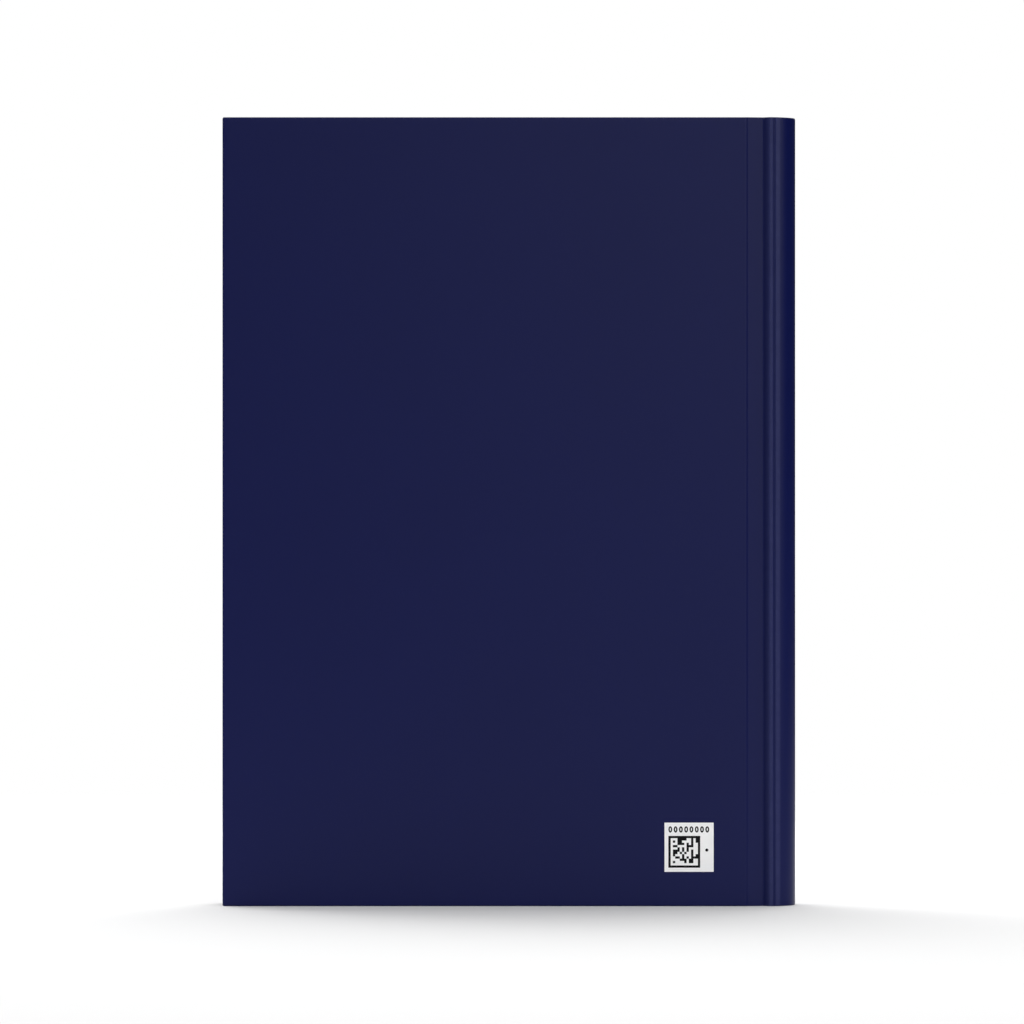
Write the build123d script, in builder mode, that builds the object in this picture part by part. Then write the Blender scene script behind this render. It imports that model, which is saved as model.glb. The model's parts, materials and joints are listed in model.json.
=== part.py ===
"""Case-bound pilot logbook, closed and standing on its tail edge.

Ten sewn sections of ruled leaves, lined at the spine, hang by their endpapers in a case
of two boards and a rounded spine card, all under one sheet of laminated cover paper.
+X runs to the spine, +Y to the front cover and +Z to the head. The origin is the middle
of the footprint, on the surface that the tail edge stands on. Millimetres throughout.
"""

import os
from math import asin, cos, degrees, radians, sin, sqrt

from build123d import *

os.makedirs("parts", exist_ok=True)

# The case, outside measures
case_height = 203.2
case_width = 147.8
case_thickness = 15.2
cover_paper = 0.25
board_thickness = 2.5
turn_in = 15.0
square = 3.2

# The pressed hinge groove, from the board's back edge to the raised bead beside the spine
board_edge_x = 60.7
groove_depth_at_board = 0.5
groove_depth = 1.35
groove_floor_x = (65.4, 66.0)
bead_depth = 0.05
bead_x = (66.95, 67.7)
bead_dip = (68.2, 0.45)
shoulder = (68.75, 0.3)
spine_edge = (69.5, 0.65)
groove_radii = (1.5, 0.6, 0.5, 0.5, 0.5, 0.6)

# The rounded spine of the case
spine_card = 0.8
card_half_angle = 62.5

# The sewn block
section_count = 10
section_pitch = 0.85
free_thickness = 0.8
turning_sections = 3
leaf_bend_x = 59.2
fold_clearance = 0.05
block_crown_x = 71.1
block_round = 5.35

# Endpapers, linings and thread
endpaper = 0.15
flyleaf_bend_x = 59.5
flyleaf_bend_radius = 0.075
flyleaf_gap = 0.02
mull = 0.25
mull_flap_x = 40.0
kraft_lining = 0.2
thread = 0.3
thread_gap = 0.03
stitch_height = 0.6
stitch_gap = 9.0
stitch_stations = 4
band_tape = 0.2
band_tape_height = 10.0
band_bead_radius = 0.8
band_half_angle = 46.0

# Worked out from the above
half_thickness = case_thickness / 2
fore_x = -case_width / 2
spine_x = case_width / 2
board_outer_y = half_thickness - cover_paper
board_inner_y = board_outer_y - board_thickness
turn_in_y = board_inner_y - cover_paper
pastedown_y = turn_in_y - endpaper
flyleaf_mid_y = pastedown_y - flyleaf_gap - flyleaf_bend_radius
hinge_x = board_edge_x + cover_paper + fold_clearance
page_low_z = square
page_high_z = case_height - square
page_fore_x = fore_x + cover_paper + square
lining_low_z = turn_in
lining_high_z = case_height - turn_in
round_centre_x = block_crown_x - block_round
mull_radius = block_round + thread_gap * 2 + thread
lining_radius = mull_radius + mull
tape_radius = lining_radius + kraft_lining
spine_edge_y = half_thickness - spine_edge[1]
spine_sagitta = spine_x - spine_edge[0]
spine_radius = (spine_edge_y**2 + spine_sagitta**2) / (2 * spine_sagitta)
spine_centre_x = spine_x - spine_radius
card_outer_radius = spine_radius - cover_paper
card_inner_radius = card_outer_radius - spine_card
spine_half_angle = degrees(asin(spine_edge_y / spine_radius))

sides = {"back": -1, "front": 1}


def keep(builder, label):
    """Label a finished piece and write it to its own file."""
    builder.part.label = label
    export_step(builder.part, f"parts/{label}.step")


def strip(x_low, x_high, y_one, y_two):
    """Draw a rectangle between two X and two Y values in the sketch that is open."""
    with Locations(((x_low + x_high) / 2, (y_one + y_two) / 2)):
        Rectangle(x_high - x_low, abs(y_two - y_one))


def folded_strip(x_low, x_round, y_mid, thickness):
    """Draw a strip whose spine end is rounded like a fold, about its own middle line."""
    strip(x_low, x_round, y_mid - thickness / 2, y_mid + thickness / 2)
    with Locations((x_round, y_mid)):
        Circle(thickness / 2)


def arc_band(centre_x, inner, outer, half_angle):
    """Draw a band between two radii, bulging to +X, in the sketch that is open."""
    sweep = (-half_angle, 2 * half_angle)
    arcs = [CenterArc((centre_x, 0), radius, *sweep, mode=Mode.PRIVATE) for radius in (inner, outer)]
    ends = [Line(arcs[0] @ end, arcs[1] @ end, mode=Mode.PRIVATE) for end in (0, 1)]
    make_face(arcs + ends)


def arc_end_angle(radius, y):
    """The angle at which an arc about the spine's axis reaches a distance from mid-thickness."""
    return degrees(asin(y / radius))


# Case boards: one stiff greyboard panel for each cover
for name, side in sides.items():
    with BuildPart() as case_board:
        with BuildSketch(Plane.XY.offset(cover_paper)):
            strip(fore_x + cover_paper, board_edge_x, side * board_inner_y, side * board_outer_y)
        extrude(amount=case_height - 2 * cover_paper)
    keep(case_board, f"{name}_board")

# Cover paper on the boards: outer sheet, three wrapped edges and their turn-ins
for name, side in sides.items():
    with BuildPart() as cover_wrap:
        with BuildSketch():
            strip(fore_x, board_edge_x + cover_paper, side * turn_in_y, side * half_thickness)
        extrude(amount=case_height)
        with BuildSketch(Plane.XY.offset(cover_paper)):
            strip(fore_x + cover_paper, board_edge_x, side * board_inner_y, side * board_outer_y)
        extrude(amount=case_height - 2 * cover_paper, mode=Mode.SUBTRACT)
        with BuildSketch(Plane.XY.offset(lining_low_z)):
            strip(
                fore_x + turn_in,
                board_edge_x + cover_paper,
                side * turn_in_y,
                side * board_inner_y,
            )
        extrude(amount=lining_high_z - lining_low_z, mode=Mode.SUBTRACT)
        with BuildSketch():
            strip(
                board_edge_x,
                board_edge_x + cover_paper,
                side * turn_in_y,
                side * (half_thickness - groove_depth_at_board - cover_paper),
            )
        extrude(amount=case_height, mode=Mode.SUBTRACT)
    keep(cover_wrap, f"{name}_cover_wrap")

# Pastedowns: the endpaper half glued over the turn-ins, thicker where it reaches the board
for name, side in sides.items():
    with BuildPart() as pastedown:
        with BuildSketch(Plane.XY.offset(page_low_z)):
            strip(page_fore_x, board_edge_x, side * pastedown_y, side * turn_in_y)
        extrude(amount=page_high_z - page_low_z)
        with BuildSketch(Plane.XY.offset(lining_low_z)):
            strip(fore_x + turn_in, mull_flap_x, side * turn_in_y, side * board_inner_y)
        extrude(amount=lining_high_z - lining_low_z)
    keep(pastedown, f"{name}_pastedown")

# Mull flaps: the ends of the spine cloth, glued to each board beneath its pastedown
for name, side in sides.items():
    with BuildPart() as mull_flap:
        with BuildSketch(Plane.XY.offset(lining_low_z)):
            strip(mull_flap_x, board_edge_x, side * turn_in_y, side * board_inner_y)
        extrude(amount=lining_high_z - lining_low_z)
    keep(mull_flap, f"{name}_mull_flap")

# Flyleaves: the free half of each endpaper, bending where it leaves its glued strip
for name, side in sides.items():
    with BuildPart() as flyleaf:
        with BuildSketch(Plane.XY.offset(page_low_z)):
            folded_strip(
                page_fore_x,
                flyleaf_bend_x,
                side * flyleaf_mid_y,
                2 * flyleaf_bend_radius,
            )
        extrude(amount=page_high_z - page_low_z)
    keep(flyleaf, f"{name}_flyleaf")

# Endpaper joints: the fold of each endpaper, tipped to the outer section and glued in the hinge
endpaper_fold_x = round_centre_x + sqrt(block_round**2 - pastedown_y**2) - thread
for name, side in sides.items():
    with BuildPart() as endpaper_joint:
        with BuildSketch(Plane.XY.offset(page_low_z)):
            strip(
                flyleaf_bend_x + flyleaf_bend_radius + fold_clearance / 2,
                endpaper_fold_x,
                side * section_count * section_pitch / 2,
                side * (pastedown_y - flyleaf_gap),
            )
            strip(
                hinge_x,
                endpaper_fold_x,
                side * (pastedown_y - flyleaf_gap),
                side * turn_in_y,
            )
        extrude(amount=page_high_z - page_low_z)
    keep(endpaper_joint, f"{name}_endpaper_joint")


# Sections: folds follow the rounded back, so the fore edge is hollowed by the same amount
def fold_centre_x(y_mid):
    """Where a section's rounded fold is centred, so that it touches the rounded back."""
    reach = block_round - section_pitch / 2
    return round_centre_x + sqrt(reach**2 - y_mid**2)


outer_fold_x = fold_centre_x((section_count - 1) / 2 * section_pitch)
for index in range(section_count):
    number = index + 1
    y_mid = ((section_count - 1) / 2 - index) * section_pitch
    section_fore_x = page_fore_x + fold_centre_x(y_mid) - outer_fold_x
    turns = min(index, section_count - 1 - index) < turning_sections
    if turns:
        with BuildPart() as leaves:
            with BuildSketch(Plane.XY.offset(page_low_z)):
                folded_strip(section_fore_x, leaf_bend_x, y_mid, free_thickness)
            extrude(amount=page_high_z - page_low_z)
        keep(leaves, f"section_{number:02d}_leaves")
    with BuildPart() as section:
        with BuildSketch(Plane.XY.offset(page_low_z)):
            start_x = leaf_bend_x + free_thickness / 2 + fold_clearance if turns else section_fore_x
            folded_strip(start_x, fold_centre_x(y_mid), y_mid, section_pitch)
        extrude(amount=page_high_z - page_low_z)
    keep(section, f"section_{number:02d}_fold" if turns else f"section_{number:02d}")

# Sewing thread: pairs of stitches carried across the folds at each station
with BuildPart() as sewing_thread:
    station_pitch = (lining_high_z - lining_low_z) / stitch_stations
    for station in range(stitch_stations):
        for step in (-stitch_gap / 2, stitch_gap / 2):
            level = lining_low_z + (station + 0.5) * station_pitch + step
            with BuildSketch(Plane.XY.offset(level)):
                arc_band(
                    round_centre_x,
                    block_round + thread_gap,
                    block_round + thread_gap + thread,
                    arc_end_angle(block_round, flyleaf_mid_y - section_pitch / 2),
                )
            extrude(amount=stitch_height)
keep(sewing_thread, "sewing_thread")

# Mull: open-weave cloth round the back and out into both hinges
with BuildPart() as spine_mull:
    with BuildSketch(Plane.XY.offset(lining_low_z)):
        with BuildLine():
            for y, radius in ((turn_in_y, mull_radius), (board_inner_y, lining_radius)):
                reach = round_centre_x + sqrt(radius**2 - y**2)
                for turn in (-1, 1):
                    Line((hinge_x, turn * y), (reach, turn * y))
                ThreePointArc((reach, -y), (round_centre_x + radius, 0), (reach, y))
            for turn in (-1, 1):
                Line((hinge_x, turn * turn_in_y), (hinge_x, turn * board_inner_y))
        make_face()
    extrude(amount=lining_high_z - lining_low_z)
keep(spine_mull, "spine_mull")

# Kraft lining over the mull
with BuildPart() as spine_lining:
    with BuildSketch(Plane.XY.offset(page_low_z + 2 * cover_paper)):
        arc_band(
            round_centre_x,
            lining_radius,
            tape_radius,
            arc_end_angle(lining_radius, turn_in_y),
        )
    extrude(amount=page_high_z - page_low_z - 4 * cover_paper)
keep(spine_lining, "spine_lining")

# Head and tail bands: a tape glued to the back with a beaded edge over the ends of the leaves
band_planes = {"headband": (page_high_z, 1), "tailband": (page_low_z, -1)}
for name, (level, up) in band_planes.items():
    with BuildPart() as band:
        with BuildSketch(Plane.XY.offset(level + up * band_bead_radius)):
            arc_band(round_centre_x, tape_radius, tape_radius + band_tape, band_half_angle)
        extrude(amount=-up * band_tape_height)
        start = radians(-band_half_angle)
        band_end = Plane(
            origin=(round_centre_x, 0, 0),
            x_dir=(cos(start), sin(start), 0),
            z_dir=(sin(start), -cos(start), 0),
        )
        with BuildSketch(band_end):
            with Locations((tape_radius + band_tape - band_bead_radius, level + up * band_bead_radius)):
                Circle(band_bead_radius)
        revolve(
            axis=Axis((round_centre_x, 0, 0), (0, 0, 1)),
            revolution_arc=2 * band_half_angle,
        )
    keep(band, name)

# Spine card: the stiff inlay that keeps the back of the case rounded
with BuildPart() as card:
    with BuildSketch(Plane.XY.offset(cover_paper)):
        arc_band(spine_centre_x, card_inner_radius, card_outer_radius, card_half_angle)
    extrude(amount=case_height - 2 * cover_paper)
keep(card, "spine_card")

# Spine wrap: the cover paper through both grooves, over the beads and round the spine
with BuildPart() as spine_wrap:
    with BuildSketch():
        with BuildLine() as groove_line:
            FilletPolyline(
                (hinge_x + fold_clearance, half_thickness - groove_depth_at_board),
                (groove_floor_x[0], half_thickness - groove_depth),
                (groove_floor_x[1], half_thickness - groove_depth),
                (bead_x[0], half_thickness - bead_depth),
                (bead_x[1], half_thickness - bead_depth),
                (bead_dip[0], half_thickness - bead_dip[1]),
                (shoulder[0], half_thickness - shoulder[1]),
                (spine_edge[0], spine_edge_y),
                radius=list(groove_radii),
            )
            offset(amount=cover_paper, side=Side.RIGHT)
        make_face()
        mirror(about=Plane.XZ)
        arc_band(spine_centre_x, card_outer_radius, spine_radius, spine_half_angle)
    extrude(amount=case_height)
    for level in (0, case_height - cover_paper):
        with BuildSketch(Plane.XY.offset(level)):
            arc_band(
                spine_centre_x,
                card_inner_radius - cover_paper,
                spine_radius,
                card_half_angle,
            )
        extrude(amount=cover_paper)
    for level in (0, lining_high_z):
        with BuildSketch(Plane.XY.offset(level)):
            arc_band(
                spine_centre_x,
                card_inner_radius - cover_paper,
                card_inner_radius,
                card_half_angle,
            )
        extrude(amount=turn_in)
keep(spine_wrap, "spine_wrap")
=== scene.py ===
"""Looks of a case-bound pilot logbook that stands on its tail edge.

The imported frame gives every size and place. +X runs to the spine, +Y to the front cover
and +Z to the head. Blender works in metres, so lengths that are plain to a binder are
written in millimetres and multiplied by MM.
"""

import json
import logging
import math
import random
from collections.abc import Iterable
from dataclasses import dataclass, field
from enum import Enum

import bmesh
import bpy
from mathutils import Matrix, Vector


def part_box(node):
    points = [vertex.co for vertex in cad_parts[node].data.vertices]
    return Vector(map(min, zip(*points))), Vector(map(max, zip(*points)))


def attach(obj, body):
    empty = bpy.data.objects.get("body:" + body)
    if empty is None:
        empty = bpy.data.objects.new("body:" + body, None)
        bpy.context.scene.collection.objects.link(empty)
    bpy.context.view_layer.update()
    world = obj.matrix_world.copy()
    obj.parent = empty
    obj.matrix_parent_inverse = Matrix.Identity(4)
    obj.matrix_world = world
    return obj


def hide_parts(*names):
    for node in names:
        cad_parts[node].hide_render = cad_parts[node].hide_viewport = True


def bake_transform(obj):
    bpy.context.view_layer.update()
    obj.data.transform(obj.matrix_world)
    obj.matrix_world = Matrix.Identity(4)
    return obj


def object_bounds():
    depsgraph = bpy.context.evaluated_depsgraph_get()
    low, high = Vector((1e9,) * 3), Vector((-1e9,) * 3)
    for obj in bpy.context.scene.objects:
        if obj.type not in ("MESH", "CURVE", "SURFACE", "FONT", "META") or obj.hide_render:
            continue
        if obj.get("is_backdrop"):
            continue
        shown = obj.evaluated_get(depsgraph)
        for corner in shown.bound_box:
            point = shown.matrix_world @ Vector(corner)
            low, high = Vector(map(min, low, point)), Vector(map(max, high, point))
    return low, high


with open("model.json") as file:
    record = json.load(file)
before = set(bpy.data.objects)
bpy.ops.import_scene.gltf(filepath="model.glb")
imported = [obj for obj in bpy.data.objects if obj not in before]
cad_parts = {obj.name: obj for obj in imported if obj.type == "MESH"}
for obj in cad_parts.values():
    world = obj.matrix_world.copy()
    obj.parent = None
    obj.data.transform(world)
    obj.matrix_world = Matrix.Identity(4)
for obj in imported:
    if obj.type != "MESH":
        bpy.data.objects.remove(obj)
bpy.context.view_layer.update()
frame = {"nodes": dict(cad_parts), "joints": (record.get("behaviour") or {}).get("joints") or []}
MM = 0.001
LOG = logging.getLogger("logbook")


class Side(Enum):
    """The two covers, and which way each one faces along Y."""

    BACK = ("back", -1)
    FRONT = ("front", 1)

    @property
    def label(self) -> str:
        """The word that starts this side's node and body names."""
        return self.value[0]

    @property
    def way(self) -> int:
        """-1 for the back cover and 1 for the front cover."""
        return self.value[1]


# Materials

Tree = bpy.types.NodeTree
Node = bpy.types.Node
Socket = bpy.types.NodeSocket


def srgb(code: str) -> tuple[float, float, float, float]:
    """Turn an sRGB hex colour into the linear colour that a shader takes.

    Args:
        code: Six hex digits, such as "1b1f47".

    Returns:
        Linear red, green and blue, with an alpha of 1.
    """
    channels = [int(code[place : place + 2], 16) / 255 for place in (0, 2, 4)]
    linear = [c / 12.92 if c <= 0.04045 else ((c + 0.055) / 1.055) ** 2.4 for c in channels]
    return (*linear, 1.0)


def add_node(tree: Tree, kind: str, inputs: dict | None = None, **settings) -> Node:
    """Add one node with its settings, and link or set its inputs.

    Args:
        tree: The node tree that the node joins.
        kind: The node's type name in Blender.
        inputs: Input names or numbers, each with a value or with the socket that feeds it.
        **settings: Attributes set on the node itself.

    Returns:
        The new node.
    """
    node = tree.nodes.new(kind)
    for name, value in settings.items():
        setattr(node, name, value)
    for key, value in (inputs or {}).items():
        if isinstance(value, Socket):
            tree.links.new(value, node.inputs[key])
        else:
            node.inputs[key].default_value = value
    return node


def stepped_ramp(tree: Tree, factor: Socket, stops: Iterable[tuple[float, tuple]]) -> Socket:
    """Map a factor through a colour ramp whose colours change at once.

    Args:
        tree: The node tree that the ramp joins.
        factor: The socket with the factor from 0 to 1.
        stops: Positions, each with its linear colour, in rising order.

    Returns:
        The ramp's colour socket.
    """
    node = add_node(tree, "ShaderNodeValToRGB", {0: factor})
    node.color_ramp.interpolation = "CONSTANT"
    elements = node.color_ramp.elements
    for index, (position, colour) in enumerate(stops):
        stop = elements[index] if index < len(elements) else elements.new(position)
        stop.position = position
        stop.color = colour
    return node.outputs["Color"]


def object_point(tree: Tree, scale: tuple[float, float, float] = (1, 1, 1)) -> Socket:
    """Object coordinates, stretched per axis."""
    point = add_node(tree, "ShaderNodeTexCoord").outputs["Object"]
    return add_node(tree, "ShaderNodeMapping", {"Vector": point, "Scale": scale}).outputs["Vector"]


def attribute(tree: Tree, name: str) -> Socket:
    """The value of a mesh attribute."""
    return add_node(tree, "ShaderNodeAttribute", attribute_name=name).outputs["Fac"]


def noise(tree: Tree, point: Socket, grain_mm: float, detail: float = 3.0, roughness: float = 0.5) -> Socket:
    """Fractal noise whose largest grain has a real size.

    Args:
        tree: The node tree to build in.
        point: The coordinate socket, in metres.
        grain_mm: Size of the largest grain in millimetres.
        detail: Octaves of finer grain.
        roughness: Strength of the finer octaves.

    Returns:
        The noise value, about 0.5 in the middle.
    """
    settings = {"Vector": point, "Scale": 1 / (grain_mm * MM), "Detail": detail, "Roughness": roughness}
    return add_node(tree, "ShaderNodeTexNoise", settings).outputs[0]


def math_node(tree: Tree, operation: str, *values) -> Socket:
    """A Math node's result for up to three inputs, each a number or a socket."""
    return add_node(tree, "ShaderNodeMath", dict(enumerate(values)), operation=operation).outputs[0]


def mix_colour(tree: Tree, factor, first, second) -> Socket:
    """Blend two colours by a factor, each a value or a socket."""
    return add_node(tree, "ShaderNodeMix", {0: factor, 6: first, 7: second}, data_type="RGBA").outputs[2]


def ramp_value(tree: Tree, value: Socket, low: float, high: float) -> Socket:
    """Stretch the part of a value between low and high to 0 to 1, and clamp the rest."""
    limits = {"Value": value, "From Min": low, "From Max": high}
    return add_node(tree, "ShaderNodeMapRange", limits).outputs["Result"]


def leaf_axes(tree: Tree) -> tuple[Socket, Socket]:
    """Distances across and up a sheet, in metres, from its own leaf_metres UV map."""
    uv = add_node(tree, "ShaderNodeUVMap", uv_map="leaf_metres").outputs["UV"]
    return tuple(add_node(tree, "ShaderNodeSeparateXYZ", {0: uv}).outputs)[:2]


def bump(tree: Tree, height: Socket, depth_mm: float, strength: float = 1.0,
         under: Socket | None = None) -> Socket:
    """Relief of a real depth from a height of 0 to 1.

    Args:
        tree: The node tree to build in.
        height: The height socket.
        depth_mm: Depth of the relief in millimetres.
        strength: Share of the relief that is used.
        under: The normal of a coarser relief beneath this one.

    Returns:
        The normal socket.
    """
    inputs = {"Height": height, "Distance": depth_mm * MM, "Strength": strength}
    if under is not None:
        inputs["Normal"] = under
    return add_node(tree, "ShaderNodeBump", inputs).outputs["Normal"]


@dataclass(frozen=True)
class Finish:
    """A finish that builds its own material once.

    Attributes:
        name: What the real material is called.
        roughness: Typical roughness of the surface.
        ior: Index of refraction of the surface layer.
        gloss: Share of that index's mirror strength that the surface keeps, 0.5 being all of it.
    """

    name: str
    roughness: float = 0.6
    ior: float = 1.5
    gloss: float = 0.5

    def material(self) -> bpy.types.Material:
        """Return this finish's material, built the first time it is asked for."""
        known = bpy.data.materials.get(self.name)
        if known is not None:
            return known
        material = bpy.data.materials.new(self.name)
        material.use_nodes = True
        tree = material.node_tree
        tree.nodes.clear()
        surface = {"Roughness": self.roughness, "IOR": self.ior, "Specular IOR Level": self.gloss}
        shader = add_node(tree, "ShaderNodeBsdfPrincipled", surface)
        for name, source in self.dress(tree).items():
            tree.links.new(source, shader.inputs[name])
        add_node(tree, "ShaderNodeOutputMaterial", {"Surface": shader.outputs["BSDF"]})
        return material

    def dress(self, tree: Tree) -> dict[str, Socket]:
        """The sockets that feed the shader, by the shader's input names; each finish has its own."""
        raise NotImplementedError


@dataclass(frozen=True)
class LaminatedCoverPaper(Finish):
    """Navy printed paper under matt film: even colour, a soft broad sheen and faint film grain."""

    colour: str = "071047"
    # The lighter, greyer navy marks handling at the corners and is also a painted highlight on the bead and
    # the shoulder.
    rub_and_highlight_navy: str = "292e5b"
    mottle: str = "060e43"
    sheen_spread: float = 0.02
    tooth_mm: float = 0.35

    def dress(self, tree: Tree) -> dict[str, Socket]:
        """Give the film a fine tooth, slow mottling, handling marks at the corners and a painted highlight on
        the bead and the shoulder.

        Args:
            tree: The material's node tree.

        Returns:
            The shader's colour, roughness and normal.
        """
        point = object_point(tree)
        ink = mix_colour(tree, noise(tree, point, 38.0, 2.0), srgb(self.mottle), srgb(self.colour))
        patch = noise(tree, point, 2.2, 4.0, 0.7)
        uneven = math_node(tree, "MULTIPLY_ADD", ramp_value(tree, patch, 0.42, 0.62), 0.2, 0.8)
        # Painted highlight: the bead and the shoulder by the groove take the lighter navy as if lit; at the
        # corners it is real handling.
        rub_and_highlight = math_node(tree, "MULTIPLY", attribute(tree, "corner_rub_ridge_highlight"), uneven)
        limits = {"To Min": self.roughness - self.sheen_spread, "To Max": self.roughness + self.sheen_spread}
        sheen = add_node(tree, "ShaderNodeMapRange", {"Value": noise(tree, point, 6.0, 3.0), **limits})
        # Film tooth is really about 0.1 mm across; tooth_mm is coarser, so that it shows.
        film = bump(tree, noise(tree, point, self.tooth_mm, 2.0), 0.003, 0.5)
        return {
            "Base Color": mix_colour(tree, rub_and_highlight, ink, srgb(self.rub_and_highlight_navy)),
            "Roughness": sheen.outputs["Result"],
            "Normal": bump(tree, noise(tree, point, 9.0, 2.0), 0.012, 0.4, film),
        }


@dataclass(frozen=True)
class PatternedFinish(Finish):
    """A surface of two close colours that a pattern mixes, with the pattern's own relief.

    Attributes:
        colour: The colour where the pattern is 1.
        under: The colour where it is 0.
        relief_mm: Depth of the relief in millimetres.
        relief: Share of the relief that is used.
    """

    colour: str = "ffffff"
    under: str = "000000"
    relief_mm: float = 0.02
    relief: float = 1.0

    def dress(self, tree: Tree) -> dict[str, Socket]:
        """Mix the two colours by the pattern, print over them and raise the relief.

        Args:
            tree: The material's node tree.

        Returns:
            The shader's colour and normal.
        """
        share, height = self.pattern(tree)
        bare = mix_colour(tree, share, srgb(self.under), srgb(self.colour))
        normal = bump(tree, height, self.relief_mm, self.relief)
        return {"Base Color": self.ink(tree, bare), "Normal": normal}

    def pattern(self, tree: Tree) -> tuple[Socket, Socket]:
        """The share of the first colour, and the height of the relief."""
        raise NotImplementedError

    def ink(self, tree: Tree, bare: Socket) -> Socket:
        """What is printed over the bare surface; most have nothing."""
        return bare


@dataclass(frozen=True)
class UncoatedPaper(PatternedFinish):
    """Uncoated paper: matt, softly fibrous, a little cloudy when it fills the view."""

    colour: str = "efeee6"
    under: str = "e6e4da"
    relief_mm: float = 0.012
    relief: float = 0.6
    fibre_mm: float = 0.5

    def pattern(self, tree: Tree) -> tuple[Socket, Socket]:
        """Cloudy formation, and short fibres."""
        fibre = noise(tree, object_point(tree, (1.0, 1.0, 0.35)), self.fibre_mm, 3.0, 0.6)
        return noise(tree, object_point(tree), 5.0, 4.0, 0.6), fibre


@dataclass(frozen=True)
class LedgerPaper(UncoatedPaper):
    """Ledger paper printed both sides with a blank flight table: rules, columns and a tinted head."""

    rule: str = "8ea3bd"
    tint: str = "d5e0ea"
    row_mm: float = 7.2
    rule_mm: float = 0.28
    table_mm: tuple[float, float, float, float] = (6.0, 123.0, 10.0, 186.0)
    columns_mm: tuple[float, ...] = (6.0, 18.0, 33.0, 46.0, 58.0, 70.0, 80.0, 90.0, 100.0, 111.0, 122.7)
    head_mm: float = 20.0

    def ink(self, tree: Tree, bare: Socket) -> Socket:
        """Draw the table from the leaf's own UV map, which is in metres from the leaf's tail corner.

        Args:
            tree: The material's node tree.
            bare: The bare paper's colour.

        Returns:
            The colour with the rules and the tinted head on it.
        """
        low_u, high_u, low_v, high_v = self.table_mm
        across, up = (math_node(tree, "DIVIDE", axis, MM) for axis in leaf_axes(tree))
        inside = math_node(
            tree,
            "MULTIPLY",
            self.between(tree, across, low_u, high_u),
            self.between(tree, up, low_v, high_v),
        )
        row = math_node(tree, "MODULO", math_node(tree, "SUBTRACT", high_v, up), self.row_mm)
        ruled = math_node(tree, "LESS_THAN", row, self.rule_mm)
        body = math_node(tree, "LESS_THAN", up, high_v - self.head_mm + self.rule_mm)
        ruled = math_node(tree, "MULTIPLY", ruled, body)
        blank, printed = srgb("000000"), srgb("ffffff")
        stops = [(0.0, blank)]
        for column in self.columns_mm:
            share = column / high_u
            stops.append((share, printed))
            stops.append((min(1.0, share + self.rule_mm / high_u), blank))
        lines = stepped_ramp(tree, math_node(tree, "DIVIDE", across, high_u), stops)
        edge = math_node(tree, "GREATER_THAN", up, high_v - self.rule_mm)
        rules = math_node(tree, "MAXIMUM", math_node(tree, "MAXIMUM", lines, ruled), edge)
        head = math_node(tree, "GREATER_THAN", up, high_v - self.head_mm)
        tinted = mix_colour(tree, math_node(tree, "MULTIPLY", inside, head), bare, srgb(self.tint))
        return mix_colour(tree, math_node(tree, "MULTIPLY", rules, inside), tinted, srgb(self.rule))

    @staticmethod
    def between(tree: Tree, value: Socket, low: float, high: float) -> Socket:
        """1 where a value lies between two limits and 0 elsewhere."""
        above = math_node(tree, "GREATER_THAN", value, low)
        return math_node(tree, "MULTIPLY", above, math_node(tree, "LESS_THAN", value, high))


@dataclass(frozen=True)
class TrimmedEdge(PatternedFinish):
    """The guillotined edge of a stack of leaves: fine strata, a touch darker than the faces."""

    colour: str = "e9e6da"
    under: str = "cbc7b8"
    relief: float = 0.5
    grain_share: float = 0.35

    def pattern(self, tree: Tree) -> tuple[Socket, Socket]:
        """Tone each leaf apart, with guillotine drag along the stack."""
        tone = math_node(tree, "MULTIPLY", attribute(tree, "leaf_tone"), 1 - self.grain_share)
        grain = noise(tree, object_point(tree, (1.0, 1.0, 0.2)), 0.6, 3.0)
        return math_node(tree, "MULTIPLY_ADD", grain, self.grain_share, tone), grain


@dataclass(frozen=True)
class Greyboard(PatternedFinish):
    """Recycled binder's board: grey-brown, flecked, with a pressed felt-like face."""

    colour: str = "9a9182"
    under: str = "6f685c"
    relief_mm: float = 0.03

    def pattern(self, tree: Tree) -> tuple[Socket, Socket]:
        """Fibre flecks of about 1 mm over a soft mottle."""
        fleck = noise(tree, object_point(tree, (1.0, 3.0, 1.0)), 1.2, 5.0, 0.75)
        return ramp_value(tree, fleck, 0.35, 0.6), fleck


@dataclass(frozen=True)
class WovenCloth(PatternedFinish):
    """Plain-woven cloth whose threads cross at a real spacing, with darker gaps."""

    colour: str = "d9d3c4"
    under: str = "8f8877"
    relief_mm: float = 0.15
    thread_mm: float = 0.8

    def pattern(self, tree: Tree) -> tuple[Socket, Socket]:
        """Threads along and across."""
        turns = math.tau / (self.thread_mm * MM)
        ways = [math_node(tree, "SINE", math_node(tree, "MULTIPLY", axis, turns)) for axis in leaf_axes(tree)]
        thread = math_node(tree, "MULTIPLY_ADD", math_node(tree, "MAXIMUM", *ways), 0.5, 0.5)
        return thread, thread


@dataclass(frozen=True)
class KraftPaper(PatternedFinish):
    """Brown kraft lining with long machine-direction fibres up the spine."""

    colour: str = "a8794c"
    under: str = "8c6239"

    def pattern(self, tree: Tree) -> tuple[Socket, Socket]:
        """Streaky fibres along the height of the spine."""
        streak = noise(tree, object_point(tree, (1.0, 1.0, 0.15)), 0.8, 4.0, 0.7)
        return streak, streak


@dataclass(frozen=True)
class WaxedThread(PatternedFinish):
    """Waxed linen thread, twisted, with a low wax shine."""

    colour: str = "ddd6c2"
    under: str = "a89f88"
    relief_mm: float = 0.05
    twist_scale: float = 260.0

    def pattern(self, tree: Tree) -> tuple[Socket, Socket]:
        """Slanted twist marks."""
        settings = {"Vector": object_point(tree), "Scale": self.twist_scale, "Distortion": 1.5}
        twist = add_node(tree, "ShaderNodeTexWave", settings, bands_direction="DIAGONAL").outputs["Fac"]
        return twist, twist


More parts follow.
